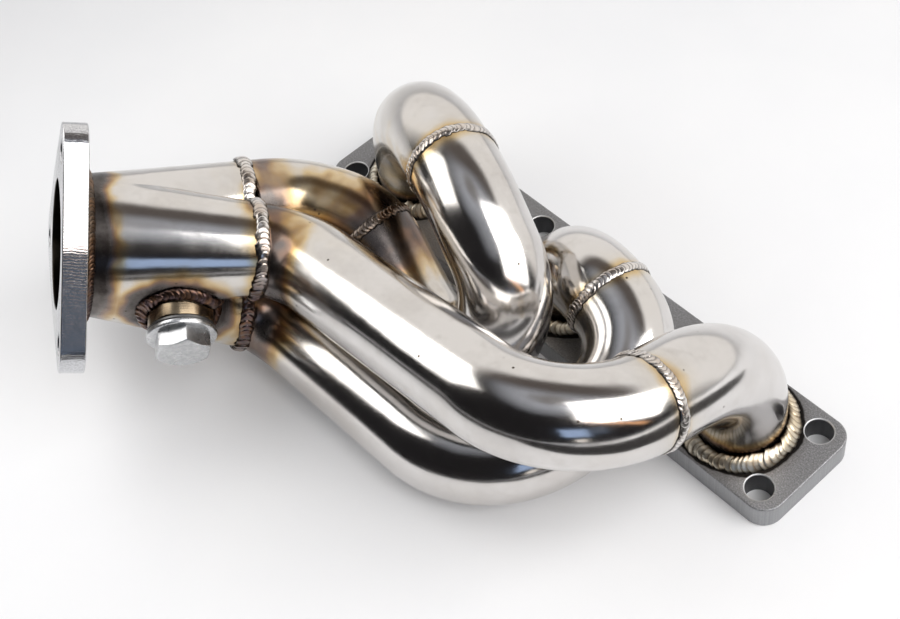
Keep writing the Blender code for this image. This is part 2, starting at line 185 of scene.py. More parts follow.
TUBE_NAMES = {
    1: ("runner_1_elbow", "runner_1_sweep"),
    2: ("runner_2_elbow", "runner_2_sweep"),
    3: ("runner_3_elbow", "runner_3_return_bend", "runner_3_sweep"),
}

# ---- studio
STUDIO_HUB = Vector((0.05, -0.08, 0.06))

# soft lights: azimuth and elevation in degrees, distance, width and height, radiance, colour, roll
LIGHTS = {
    "softbox": (22, 46, 1.2, (1.25, 0.95), 3.5, (1.0, 0.99, 0.98), -50),
    "softbox_fringe": (-1, 29, 1.2, (1.0, 0.06), 1.5, (1.0, 0.50, 0.22), -50),
    "near_card": (-150, 41, 0.31, (0.20, 0.20), 2.6, (1.0, 0.985, 0.96), 0),
    "window": (-35, 21, 3.0, (0.9, 0.85), 0.85, (0.50, 0.67, 1.0), 0),
    "cool_fill": (-17, 23, 3.0, (0.5, 0.75), 0.16, (0.52, 0.70, 1.0), 0),
    "window_core": (-33, 5, 2.9, (0.30, 0.30), 1.6, (1.0, 0.95, 0.88), 0),
}

# the room that shiny surfaces see: a bright wall on one side, dark elsewhere, paler again overhead
WALL_AZIMUTH = 120.0
WALL = (1.01, 0.98, 0.95)
WALL_TOP = (0.115, 0.098, 0.090)
DARK_ROOM = (0.016, 0.015, 0.016)
CEILING = (0.46, 0.48, 0.53)
OVERHEAD = (0.26, 0.25, 0.25)
# what matt surfaces and the camera see in its place
MATT_FILL = (0.46, 0.46, 0.47)
BACKDROP = (0.92, 0.92, 0.925)

# ---- camera
CAMERA_AT = Vector((314.87, -266.84, 542.91)) * MM + SHIFT
CAMERA_RIGHT = Vector((0.66456, 0.73750, -0.12023))
CAMERA_BACK = Vector((0.51362, -0.33397, 0.79035))
CAMERA_LENS = 61.45


# ------------------------------------------------------------------ mesh helpers
def to_array(points):
    return np.array([tuple(p) for p in points])


def unit(rows):
    return rows / np.maximum(np.linalg.norm(rows, axis=-1, keepdims=True), 1e-12)


def axes_at(origin, x, y, z):
    """The matrix that puts a piece's own axes at a point, along three directions."""
    return Matrix.Translation(origin) @ Matrix((x, y, z)).transposed().to_4x4()


def circle_angles(count):
    return 2 * np.pi * np.arange(count) / count


def link_object(name, data):
    obj = bpy.data.objects.new(name, data)
    bpy.context.scene.collection.objects.link(obj)
    return obj


def add_attribute(obj, key, values):
    layer = obj.data.attributes.new(key, "FLOAT", "POINT")
    layer.data.foreach_set("value", np.ascontiguousarray(values, dtype=np.float32).ravel())


def grid_object(name, grid, attributes):
    """A closed surface from a (rows, columns, 3) grid that wraps both ways, with values for its points."""
    rows, cols = grid.shape[:2]
    index = np.arange(rows * cols).reshape(rows, cols)
    right = np.roll(index, -1, axis=1)
    up = np.roll(index, -1, axis=0)
    both = np.roll(right, -1, axis=0)
    faces = np.stack([index, right, both, up], axis=-1).reshape(-1, 4)
    mesh = bpy.data.meshes.new(name)
    mesh.from_pydata(grid.reshape(-1, 3).tolist(), [], faces.tolist())
    mesh.shade_smooth()
    bm = bmesh.new()
    bm.from_mesh(mesh)
    bmesh.ops.recalc_face_normals(bm, faces=bm.faces)
    bm.to_mesh(mesh)
    bm.free()
    obj = link_object(name, mesh)
    for key, values in attributes.items():
        add_attribute(obj, key, values)
    return obj


def bm_object(name, bm, smooth_angle=None):
    """An object from a bmesh. An angle in degrees makes it smooth but for the edges sharper than that."""
    bmesh.ops.recalc_face_normals(bm, faces=bm.faces)
    mesh = bpy.data.meshes.new(name)
    bm.to_mesh(mesh)
    bm.free()
    if smooth_angle is not None:
        mesh.shade_smooth()
        mesh.set_sharp_from_angle(angle=math.radians(smooth_angle))
    return link_object(name, mesh)


def join_rings(bm, low, high):
    """A closed band of four-sided faces between two loops of as many vertices."""
    for k in range(len(low)):
        j = (k + 1) % len(low)
        bm.faces.new((low[k], low[j], high[j], high[k]))


def coordinates(obj):
    co = np.zeros(len(obj.data.vertices) * 3)
    obj.data.vertices.foreach_get("co", co)
    return co.reshape(-1, 3)


def finish_piece(obj, mat, node, body=MAIN):
    """Gives a piece its material, and puts it in place of its CAD node on the node's body."""
    obj.data.materials.clear()
    obj.data.materials.append(mat)
    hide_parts(node)
    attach(obj, body)


# ------------------------------------------------------------------ runner paths
def centreline(runner):
    """Points along the straights and true arcs that the corner points and bend radii give."""
    corners = [Vector(c) * MM + SHIFT for c in runner[0]]
    points = [corners[0]]
    for i, radius_mm in enumerate(runner[1], start=1):
        radius = radius_mm * MM
        into = (corners[i - 1] - corners[i]).normalized()
        out = (corners[i + 1] - corners[i]).normalized()
        turn = math.pi - into.angle(out)
        start = corners[i] + into * radius * math.tan(turn / 2)
        middle = corners[i] + (into + out).normalized() * (radius / math.cos(turn / 2))
        across = (start - middle).normalized()
        straight = max(1, math.ceil((start - points[-1]).length / STRAIGHT_STEP))
        last = points[-1]
        points += [last.lerp(start, k / straight) for k in range(1, straight)]
        steps = max(4, math.ceil(turn / BEND_STEP))
        for k in range(steps + 1):
            ang = turn * k / steps
            points.append(middle + radius * (math.cos(ang) * across - math.sin(ang) * into))
    straight = max(1, math.ceil((corners[-1] - points[-1]).length / STRAIGHT_STEP))
    last = points[-1]
    points += [last.lerp(corners[-1], k / straight) for k in range(1, straight + 1)]
    return to_array(points)


def arc_lengths(line):
    return np.concatenate([[0.0], np.cumsum(np.linalg.norm(np.diff(line, axis=0), axis=1))])


def at_lengths(rows, total, s):
    """Rows of three values taken along a line, at one arc length or many."""
    return np.stack([np.interp(s, total, rows[:, k]) for k in range(3)], axis=-1)


def between(line, s0, s1):
    """The part of a line between two arc lengths."""
    total = arc_lengths(line)
    margin = 0.3 * MM
    keep = (total > s0 + margin) & (total < s1 - margin)
    return np.vstack([at_lengths(line, total, s0), line[keep], at_lengths(line, total, s1)])


def tangents(line):
    return unit(np.gradient(line, axis=0))


def carried_frames(line):
    """Two unit vectors square to the line at each point, carried along it without twist."""
    t = tangents(line)
    first = np.cross(t[0], (0.0, 0.0, 1.0) if abs(t[0][2]) < 0.9 else (1.0, 0.0, 0.0))
    a = [first / np.linalg.norm(first)]
    for i in range(1, len(line)):
        v = a[-1] - t[i] * a[-1].dot(t[i])
        a.append(v / np.linalg.norm(v))
    a = np.array(a)
    return a, np.cross(t, a)


def point_on(line, s):
    """The point and the direction at one arc length."""
    total = arc_lengths(line)
    point = Vector(at_lengths(line, total, s))
    return point, Vector(at_lengths(tangents(line), total, s)).normalized()


# ------------------------------------------------------------------ heat tint round the welds
HEAT_SOURCES = []


def add_heat(points, heat):
    """Makes a loop of points a source of heat tint, for heat_at to use."""
    tree = kdtree.KDTree(len(points))
    for i, p in enumerate(points):
        tree.insert(Vector(p), i)
    tree.balance()
    reach, strength = HEATS[heat]
    HEAT_SOURCES.append((tree, reach * MM, strength))


def heat_at(points):
    """0 on cold metal, rising to the source's strength at a weld, with an uneven edge."""
    values = np.zeros(len(points))
    for i, p in enumerate(points):
        v = Vector(p)
        ragged = 1.0 + 0.28 * noise.noise(v * 70.0) + 0.16 * noise.noise(v * 210.0)
        for tree, reach, strength in HEAT_SOURCES:
            dist = tree.find(v)[2]
            if dist < 4 * reach:
                values[i] = max(values[i], strength * math.exp(-((dist * ragged / reach) ** HEAT_FALL)))
    return values


# ------------------------------------------------------------------ weld beads
def bead(name, path, up, size, seed):
    """A closed weld bead: overlapping crescents laid along a loop of points with their outward directions.

    Its points carry how near a lap's crest and the bead's toe are, and how burnt the bung's heat left them.
    """
    width, height, pitch, ripple = (v * MM for v in size)
    closed = np.vstack([path, path[:1]])
    total = arc_lengths(closed)
    s = np.linspace(0, total[-1], max(24, int(total[-1] / (pitch / LAP_POINTS))), endpoint=False)
    pts = at_lengths(closed, total, s)
    ups = unit(at_lengths(np.vstack([up, up[:1]]), total, s))
    run = unit(np.roll(pts, -1, axis=0) - np.roll(pts, 1, axis=0))
    side = unit(np.cross(run, ups))
    laps = max(1, round(total[-1] / pitch))
    rng = np.random.default_rng(seed)
    lap_high, lap_wide, lap_side, lap_start = (rng.normal(0.0, spread, laps + 2) for spread in LAP_SPREADS)
    across = np.linspace(-1, 1, BEAD_COLUMNS)
    top = []
    fold = []
    for u in across:
        phase = (s / total[-1] * laps) - LAP_BOW * u * u
        phase = phase + np.interp(np.mod(phase, laps), np.arange(laps + 2), lap_start)
        lap = np.floor(phase).astype(int) % laps
        saw = phase - np.floor(phase)
        fall = np.clip((saw - LAP_RISE) / (1 - LAP_RISE), 0, 1)
        crest = np.clip(saw / LAP_RISE, 0, 1) * (1 - fall) ** 1.4
        dome = (1 - abs(u) ** 2.2) ** 0.75
        high = height * dome * (0.86 + lap_high[lap] * 0.6)
        high = high + ripple * crest * (1 - u * u) ** 0.5 * (1 + lap_high[lap])
        wide = width / 2 * (0.94 + lap_wide[lap] + 0.07 * crest)
        shift = width / 2 * lap_side[lap]
        top.append(pts + side * (u * wide + shift)[:, None] + ups * high[:, None])
        fold.append(crest * (1 - 0.6 * abs(u)))
    bottom = [pts + side * (u * width * 0.42) - ups * BEAD_UNDER for u in (0.9, 0.0, -0.9)]
    grid = np.stack(top + bottom, axis=1)
    crest = np.stack(fold + [np.zeros(len(s))] * len(bottom), axis=1)
    toe = np.stack([np.full(len(s), abs(u)) for u in across] + [np.ones(len(s))] * len(bottom), axis=1)
    hub = np.array(BUNG_BASE + BUNG_DIR * BUNG_ROOT)
    burnt = np.exp(-(np.linalg.norm(grid - hub, axis=2) / BURNT_REACH) ** 3)
    return grid_object(name, grid, {"crest": crest, "toe": toe, "burnt": burnt})


def ring_path(centre, axis, radius):
    """A circle round an axis: its points and the directions outwards."""
    axis = axis.normalized()
    x = axis.cross(Vector((0.0, 0.0, 1.0)) if abs(axis.z) < 0.9 else Vector((1.0, 0.0, 0.0))).normalized()
    y = axis.cross(x)
    out = [math.cos(a) * x + math.sin(a) * y for a in circle_angles(180)]
    return to_array([centre + d * radius for d in out]), to_array(out)


# ------------------------------------------------------------------ merge collector
def past_outlet(points):
    """How far points lie beyond the outlet's face, along its normal."""
    return (points - np.array(OUT_C)) @ np.array(OUT_N)


def oval_at(line, level):
    """Where a runner crosses a plane square to the outlet: its (v, w) point, in-plane slope and tilt."""
    rel = line - np.array(OUT_C)
    depth = past_outlet(line) + INLET_BACK - level
    i = np.where(depth < 0)[0][-1]
    i = min(i, len(line) - 2)
    f = depth[i] / (depth[i] - depth[i + 1])
    p = rel[i] + (rel[i + 1] - rel[i]) * f
    d = unit(line[i + 1] - line[i])
    v, w, n = np.array(OUT_V), np.array(OUT_W), np.array(OUT_N)
    return np.array([p @ v, p @ w]), np.array([d @ v, d @ w]), d @ n


def ray_exits(hub, rays, centre, radius, slope, tilt, stretch):
    """Distance along each ray to the far side of an oval, or 0 where a ray misses it."""
    along = slope / np.linalg.norm(slope)
    across = np.array([-along[1], along[0]])
    long_r = radius * (1 + stretch * (1 / tilt - 1))
    rel = hub - centre
    px, py = rel @ along / long_r, rel @ across / radius
    dx, dy = rays @ along / long_r, rays @ across / radius
    qa = dx * dx + dy * dy
    qb = px * dx + py * dy
    disc = qb * qb - qa * (px * px + py * py - 1)
    far = (-qb + np.sqrt(np.maximum(disc, 0))) / qa
    return np.where(disc < 0, 0.0, np.maximum(far, 0.0))


def lobed_ring(lines, level, grow, count):
    """The merging pipes' outline at a distance past the inlet plane; the creases soften on the way."""
    t = min(1.0, max(0.0, level / COLLECTOR_L))
    ovals = [oval_at(line, min(0.0, level)) for line in lines.values()]
    hub = sum(o[0] for o in ovals) / 3 * (1 - t)
    angles = circle_angles(count)
    rays = np.stack([np.cos(angles), np.sin(angles)], axis=1)
    radius = TUBE_R + (COLLECTOR_R - TUBE_R) * t + grow
    power = CREASE_ADDED * (1 - t) ** 1.5 + CREASE_AT_OUTLET
    far = [ray_exits(hub, rays, c * (1 - t), radius, slope, tilt, 1 - t) for c, slope, tilt in ovals]
    widest = np.maximum.reduce([*far, np.full(count, WEB_R + grow)])
    total = sum((np.maximum(f, 1e-6) / widest) ** power for f in far) + ((WEB_R + grow) / widest) ** power
    blend = widest * np.minimum(total, 1.0 + 0.6 * (total - 1.0)) ** (1 / power)
    blend = widest + (blend - widest) * min(1.0, (1 - t) * 4)
    flat = hub + rays * blend[:, None]
    base = np.array(OUT_C + OUT_N * (level - INLET_BACK))
    return base + flat[:, :1] * np.array(OUT_V) + flat[:, 1:] * np.array(OUT_W)


def lobed_path(lines, level, grow):
    """A loop round the collector and its outward directions, which are evened out over the creases."""
    ring = lobed_ring(lines, level, grow, 360)
    inner = lobed_ring(lines, level, grow - 1.0 * MM, 360)
    out = unit(ring - inner)
    run = unit(np.roll(ring, -2, axis=0) - np.roll(ring, 2, axis=0))
    side = np.cross(run, np.array(OUT_N))
    side = np.where(np.sum(side * out, axis=1, keepdims=True) < 0, -side, side)
    for _ in range(6):
        side = unit(side + np.roll(side, 1, axis=0) + np.roll(side, -1, axis=0))
    return ring, side


# ------------------------------------------------------------------ flat plates with softened edges
def rounded_rectangle(length, width, radius, steps=10):
    pts = []
    for sx, sy, start in ((1, 1, 0), (-1, 1, 90), (-1, -1, 180), (1, -1, 270)):
        cx, cy = sx * (length / 2 - radius), sy * (width / 2 - radius)
        for k in range(steps + 1):
            a = math.radians(start + 90 * k / steps)
            pts.append((cx + radius * math.cos(a), cy + radius * math.sin(a)))
    return pts


def three_lobe_outline(steps=16):
    pts = []
    half = math.acos((OUT_WAIST_R - OUT_LOBE_R) / OUT_PITCH_R)
    for lobe in range(3):
        mid = math.radians(90 + 120 * lobe)
        cx, cy = OUT_PITCH_R * math.cos(mid), OUT_PITCH_R * math.sin(mid)
        for k in range(steps + 1):
            a = mid - half + 2 * half * k / steps
            pts.append((cx + OUT_LOBE_R * math.cos(a), cy + OUT_LOBE_R * math.sin(a)))
        for k in range(5):
            a = mid + half + (math.radians(120) - 2 * half) * (k + 0.5) / 5
            pts.append((OUT_WAIST_R * math.cos(a), OUT_WAIST_R * math.sin(a)))
    return pts


def densified(outline, step):
    """The outline with extra points on its long straights, so that its walls can carry detail."""
    pts = []
    for i, a in enumerate(outline):
        b = outline[(i + 1) % len(outline)]
        count = max(1, int(math.hypot(b[0] - a[0], b[1] - a[1]) / step))
        pts += [(a[0] + (b[0] - a[0]) * k / count, a[1] + (b[1] - a[1]) * k / count) for k in range(count)]
    return pts


def inset_outline(outline, amount):
    pts = np.array(outline)
    run = unit(np.roll(pts, -1, axis=0) - np.roll(pts, 1, axis=0))
    return pts - amount * np.stack([run[:, 1], -run[:, 0]], axis=1)


def circle_outline(x, y, radius):
    sides = 64 if radius > 12 * MM else 40
    return [(x + radius * math.cos(a), y + radius * math.sin(a)) for a in circle_angles(sides)]


def plate_object(name, outline, holes, thickness, edge, matrix):
    """A plate on z = 0 with round holes and softened edges everywhere.

    Its points carry the run length round their loop in millimetres, and 1 for being on a wall, on a hole's
    softened rim, where the blasted plate paints a highlight, or in a hole's bore, where painted shade goes.
    """
    bm = bmesh.new()
    layers = {key: bm.verts.layers.float.new(key) for key in ("run", "wall", "rim", "bore")}
    quarter = [math.radians(a) for a in (0, 30, 60, 90)]
    steps = [(edge * (1 - math.sin(a)), edge * (1 - math.cos(a))) for a in quarter]
    steps += [(inset, thickness - z) for inset, z in reversed(steps)]

    def wall_loops(shape, is_hole):
        """The faces of one wall, from its shape at any inset; returns its lowest and highest loop."""
        rings = []
        for inset, z in steps:
            pts = shape(inset)
            on_wall = inset < 1e-6
            run = 0.0
            ring = []
            for i, (x, y) in enumerate(pts):
                vert = bm.verts.new((x, y, z))
                run += 0.0 if i == 0 else math.hypot(x - pts[i - 1][0], y - pts[i - 1][1])
                vert[layers["run"]] = run / MM
                vert[layers["wall"]] = float(on_wall)
                vert[layers["rim"]] = float(is_hole and not on_wall and inset < 0.9 * edge)
                vert[layers["bore"]] = float(is_hole and on_wall)
                ring.append(vert)
            rings.append(ring)
        for low, high in zip(rings, rings[1:]):
            join_rings(bm, low, high)
        return rings[0], rings[-1]

    ends = [wall_loops(lambda inset: inset_outline(outline, inset), False)]
    for x, y, r in holes:
        ends.append(wall_loops(lambda inset, x=x, y=y, r=r: circle_outline(x, y, r + inset), True))
    for level in (0, 1):
        edges = []
        for rings in ends:
            ring = rings[level]
            edges += [bm.edges.get((ring[k], ring[(k + 1) % len(ring)])) for k in range(len(ring))]
        bmesh.ops.triangle_fill(bm, use_beauty=True, edges=edges)
    obj = bm_object(name, bm, 50)
    obj.data.transform(matrix)
    weighted = obj.modifiers.new("flat_shading", "WEIGHTED_NORMAL")
    weighted.keep_sharp = True
    return obj


# ------------------------------------------------------------------ turned pieces
def turned_object(name, profile, matrix):
    """A closed (r, z) profile turned about z. One that starts and ends at r = 0 makes a solid piece."""
    steps = 96
    bm = bmesh.new()
    rings = []
    for r, z in profile:
        angles = circle_angles(steps if r > ZERO else 1)
        rings.append([bm.verts.new((r * math.cos(a), r * math.sin(a), z)) for a in angles])
    pairs = list(zip(rings, rings[1:]))
    if len(rings[0]) > 1:
        pairs.append((rings[-1], rings[0]))
    for low, high in pairs:
        for k in range(steps):
            j = (k + 1) % steps
            if len(low) == 1:
                bm.faces.new((low[0], high[j], high[k]))
            elif len(high) == 1:
                bm.faces.new((low[k], low[j], high[0]))
            else:
                bm.faces.new((low[k], low[j], high[j], high[k]))
    obj = bm_object(name, bm, 35)
    obj.data.transform(matrix)
    return obj


def hexagon_object(name, across_flats, z0, z1, turn, matrix):
    """A hexagon head whose top corners are turned off to a shallow cone, with softened edges."""
    flat_r = across_flats / 2
    corner_r = flat_r / math.cos(math.pi / 6) - 0.12 * MM
    crown_r = flat_r * 0.955
    cone = math.tan(math.radians(30))
    cone_steps = 8
    sides = 6 * 12
    bm = bmesh.new()

    def ring(limit, z):
        verts = []
        for a in turn + circle_angles(sides):
            off = (a - turn) % (math.pi / 3) - math.pi / 6
            r = min(flat_r / math.cos(off), limit)
            verts.append(bm.verts.new((r * math.cos(a), r * math.sin(a), z)))
        return verts

    rings = [ring(corner_r, z0)]
    for k in range(cone_steps + 1):
        limit = corner_r + (crown_r - corner_r) * k / cone_steps
        rings.append(ring(limit, z1 - (limit - crown_r) * cone))
    top = bm.verts.new((0.0, 0.0, z1))
    for low, high in zip(rings, rings[1:]):
        join_rings(bm, low, high)
    for k in range(sides):
        bm.faces.new((rings[-1][k], rings[-1][(k + 1) % sides], top))
    bm.faces.new(list(reversed(rings[0])))
    bmesh.ops.dissolve_degenerate(bm, edges=bm.edges, dist=1e-7)
    obj = bm_object(name, bm, 22)
    obj.data.transform(matrix)
    return obj


# ------------------------------------------------------------------ material helpers
class Graph:
    """The nodes of a material or world. An input is a number, a tuple or another node's output."""

    def __init__(self, owner):
        self.mat = bpy.data.materials.new(owner) if isinstance(owner, str) else owner
        self.mat.use_nodes = True
        self.tree = self.mat.node_tree
        self.shader = self.tree.nodes.get("Principled BSDF")

    def node(self, kind, inputs=None, **settings):
        made = self.tree.nodes.new("ShaderNode" + kind)
        for key, value in settings.items():
            setattr(made, key, value)
        self.feed(made, inputs or {})
        return made

    def feed(self, node, inputs):
        for key, value in inputs.items():
            if isinstance(value, bpy.types.NodeSocket):
                self.tree.links.new(value, node.inputs[key])
            else:
                node.inputs[key].default_value = value

    def surface(self, color, rough, metallic, normal):
        inputs = {"Base Color": color, "Roughness": rough, "Metallic": metallic, "Normal": normal}
        self.feed(self.shader, inputs)
        return self.mat

    def attribute(self, name):
        return self.node("Attribute", attribute_name=name).outputs["Fac"]

    def place(self):
        return self.node("TexCoord").outputs["Object"]

    def math(self, operation, a, b=0.0, c=0.0, clamp=False):
        made = self.node("Math", {0: a, 1: b, 2: c}, operation=operation, use_clamp=clamp)
        return made.outputs[0]

    def vector(self, x, y, z=0.0):
        return self.node("CombineXYZ", {0: x, 1: y, 2: z}).outputs[0]

    def noise(self, vector, scale, detail=3.0, rough=0.55):
        inputs = {"Vector": vector, "Scale": scale, "Detail": detail, "Roughness": rough}
        return self.node("TexNoise", inputs).outputs["Fac"]

    def lines(self, value, frequency, detail):
        """Noise that changes with one value only, for fine lines across it."""
        return self.noise(self.vector(self.math("MULTIPLY", value, frequency), 0.0), 1.0, detail)

    def remap(self, value, low, high, to_low=0.0, to_high=1.0):
        made = self.node("MapRange", {0: value, 1: low, 2: high, 3: to_low, 4: to_high}, clamp=True)
        return made.outputs[0]

    def ramp(self, value, stops):
        made = self.node("ValToRGB", {0: value})
        ramp = made.color_ramp
        while len(ramp.elements) < len(stops):
            ramp.elements.new(0.5)
        for element, (position, color) in zip(ramp.elements, stops):
            element.position = position
            element.color = (*color, 1.0)
        return made.outputs["Color"]

    def mix(self, factor, a, b):
        made = self.node("Mix", {0: factor}, data_type="RGBA")
        for index, value in ((6, a), (7, b)):
            self.feed(made, {index: value if isinstance(value, bpy.types.NodeSocket) else (*value, 1.0)})
        return made.outputs[2]

    def bump(self, height, distance, strength=1.0, under=None):
        inputs = {"Height": height, "Distance": distance, "Strength": strength}
        if under is not None:
            inputs["Normal"] = under
        return self.node("Bump", inputs).outputs[0]


# ------------------------------------------------------------------ materials
HEAT_COLORS = [
    (0.00, (0.690, 0.670, 0.652)),
    (0.14, (0.680, 0.645, 0.595)),
    (0.28, (0.640, 0.500, 0.300)),
    (0.42, (0.420, 0.270, 0.120)),
    (0.56, (0.220, 0.140, 0.100)),
    (0.74, (0.110, 0.095, 0.090)),
    (1.00, (0.045, 0.038, 0.035)),
]
STAIN = (0.44, 0.405, 0.375)
SMUT = (0.38, 0.34, 0.30)
PIT = (0.09, 0.075, 0.06)

# weld metal: crests, tint, how much of it, laps and toes, roughness, where across the bead the toe starts;
# the laps' dark colour is partly the weld's own bands and partly painted shade in the troughs
BEAD_LOOKS = {
    "silver": ((0.74, 0.71, 0.68), (0.46, 0.33, 0.22), 0.5, (0.17, 0.15, 0.135), 0.13, 0.72),
    "golden": ((0.80, 0.755, 0.64), (0.68, 0.53, 0.34), 0.6, (0.26, 0.18, 0.10), 0.26, 0.50),
    "burnt": ((0.20, 0.155, 0.125), (0.36, 0.17, 0.07), 0.6, (0.035, 0.025, 0.022), 0.22, 0.72),
    "scorched": ((0.13, 0.095, 0.07), (0.38, 0.19, 0.08), 0.5, (0.02, 0.015, 0.012), 0.24, 0.72),
    "smoked": ((0.17, 0.14, 0.12), (0.24, 0.14, 0.08), 0.6, (0.03, 0.025, 0.02), 0.20, 0.72),
}
BURNT_BROWN = (0.17, 0.095, 0.058)
BURNT_PURPLE = (0.12, 0.085, 0.09)

BLASTED = [(0.30, (0.16, 0.16, 0.165)), (0.52, (0.31, 0.31, 0.32)), (0.74, (0.56, 0.56, 0.57))]
BLASTED_CLOUD = (0.26, 0.255, 0.25)
SAWN = [(0.3, (0.28, 0.285, 0.295)), (0.7, (0.40, 0.405, 0.415))]
# painted shade: near black on the walls of the holes, where little light reaches
PAINTED_BORE_SHADE = (0.07, 0.07, 0.075)
# painted highlight: a bright colour on the hole rims, standing in for light glinting off their chamfers
PAINTED_RIM_HIGHLIGHT = (0.74, 0.745, 0.75)
PORT_BROWN = (0.10, 0.085, 0.075)
PORT_BROWN_RING = (26.0 * MM, 30.0 * MM)
PORT_BLACK = (0.012, 0.010, 0.009)
PORT_BLACK_RING = (26.1 * MM, 26.7 * MM)

MILLED = [(0.30, (0.46, 0.465, 0.48)), (0.50, (0.60, 0.605, 0.62)), (0.72, (0.72, 0.725, 0.74))]
SOOT = (0.035, 0.028, 0.022)
ZINC = [(0.3, (0.46, 0.47, 0.48)), (0.7, (0.70, 0.705, 0.71))]
BUNG_STEEL = (0.30, 0.25, 0.18)
TURNED_TINTS = [(0.35, (0.30, 0.24, 0.16)), (0.7, (0.17, 0.12, 0.08)), (1.0, (0.06, 0.045, 0.04))]
WASHER_METAL = (0.20, 0.20, 0.20)
FLOOR = [(0.35, (0.86, 0.865, 0.875)), (0.65, (0.90, 0.902, 0.905))]
# the dark cards' tones; the card in front is painted shade
DARK_CARD_TONES = [(0.3, (0.010, 0.009, 0.009)), (0.7, (0.022, 0.020, 0.020))]


def tube_material(name, haze):
    """Polished stainless: streaks along the tube, stains and small dark pits, heat colours at the welds."""
    g = Graph(name)
    place = g.place()
    lengthwise = g.vector(g.math("MULTIPLY", g.attribute("along"), 0.02), g.attribute("around"))
    streaks = g.noise(lengthwise, 26.0, 4.0, 0.6)
    patches = g.noise(place, 32.0)
    cloud = g.noise(place, 90.0, 4.0)
    stains = g.noise(place, 24.0, 6.0, 0.68)
    blotches = g.math("MULTIPLY", g.attribute("scorch"), g.remap(patches, 0.3, 0.7, 0.55, 1.35))
    heat = g.math("ADD", blotches, g.math("MULTIPLY_ADD", patches, 0.20, -0.10), clamp=True)
    pits = g.node("TexVoronoi", {"Vector": place, "Scale": 95.0}, feature="F1").outputs["Distance"]
    color = g.ramp(heat, HEAT_COLORS)
    color = g.mix(g.remap(stains, 0.46, 0.68, 0.0, 0.34), color, STAIN)
    color = g.mix(g.remap(cloud, 0.58, 0.78, 0.0, 0.30), color, SMUT)
    color = g.mix(g.remap(pits, 0.035, 0.06, 1.0, 0.0), color, PIT)
    rough = g.math("MULTIPLY_ADD", streaks, 0.09, 0.05 + haze)
    rough = g.math("MULTIPLY_ADD", cloud, 0.06, rough)
    rough = g.math("MULTIPLY_ADD", g.remap(stains, 0.40, 0.70), 0.045, rough)
    rough = g.math("MULTIPLY_ADD", heat, 0.16, rough)
    dents = g.bump(g.noise(place, 55.0, 1.0), 0.00022)
    return g.surface(color, rough, 1.0, g.bump(streaks, 0.000012, 1.0, dents))


def bead_material(name, bright, tint, tinted, trough_shade, rough, toe_from):
    """Weld metal: crests, laps darkened partly as the weld's own bands and partly as painted shade in the
    troughs, darker toes, patches of heat colour, and a burnt part near the bung.
    """
    g = Graph(name)
    place = g.place()
    patches = g.remap(g.noise(place, 85.0), 0.42, 0.62)
    color = g.mix(g.math("MULTIPLY", patches, tinted), bright, tint)
    burnt = g.mix(g.remap(g.noise(place, 240.0, 2.0), 0.40, 0.60), BURNT_BROWN, BURNT_PURPLE)
    color = g.mix(g.remap(g.attribute("burnt"), 0.18, 0.55), color, burnt)
    # the troughs between the crests darken: partly the weld's own lap bands, partly painted shade, which
    # sets the crests off as bright crescents
    color = g.mix(g.remap(g.attribute("crest"), 0.0, 0.30, 0.75, 0.0), color, trough_shade)
    toe = g.remap(g.attribute("toe"), toe_from, 0.98, 0.0, 0.95)
    color = g.mix(toe, color, tuple(0.3 * c for c in trough_shade))
    roughness = g.math("MULTIPLY_ADD", g.noise(place, 900.0), 0.16, rough)
    return g.surface(color, roughness, 1.0, g.bump(g.noise(place, 420.0), 0.00012))


def blasted_material():
    """Dark blasted plate: speckled faces, a sawn edge, painted highlights on the hole rims, painted shade
    in the bores, burnt rings round the ports.
    """
    g = Graph("blasted_plate")
    place = g.place()
    side = g.attribute("wall")
    speck = g.noise(place, 1500.0, 4.0, 0.7)
    cloud = g.noise(place, 60.0, 4.0)
    color = g.ramp(speck, BLASTED)
    color = g.mix(g.remap(cloud, 0.3, 0.7, 0.0, 0.35), color, BLASTED_CLOUD)
    sawn = g.ramp(g.lines(g.attribute("run"), 1.1, 3.0), SAWN)
    color = g.mix(g.math("MULTIPLY", side, 0.75), color, sawn)
    flat = g.node("VectorMath", {0: place, 1: (1.0, 1.0, 0.0)}, operation="MULTIPLY").outputs[0]
    ragged = g.math("MULTIPLY_ADD", cloud, 4.0 * MM, -2.0 * MM)
    ragged = g.math("MULTIPLY_ADD", side, 20.0 * MM, ragged)
    for x in PORT_X.values():
        port = (x + SHIFT.x, 0.0, 0.0)
        away = g.node("VectorMath", {0: flat, 1: port}, operation="DISTANCE").outputs["Value"]
        away = g.math("ADD", away, ragged)
        color = g.mix(g.remap(away, *PORT_BROWN_RING, 0.35, 0.0), color, PORT_BROWN)
        color = g.mix(g.remap(away, *PORT_BLACK_RING, 1.0, 0.0), color, PORT_BLACK)
    # painted shade on the bore walls
    color = g.mix(g.math("MULTIPLY", g.attribute("bore"), 0.8), color, PAINTED_BORE_SHADE)
    # painted highlight on the softened hole rims
    color = g.mix(g.attribute("rim"), color, PAINTED_RIM_HIGHLIGHT)
    rough = g.math("MULTIPLY_ADD", speck, 0.20, 0.34)
    return g.surface(color, rough, 0.85, g.bump(speck, 0.00009))


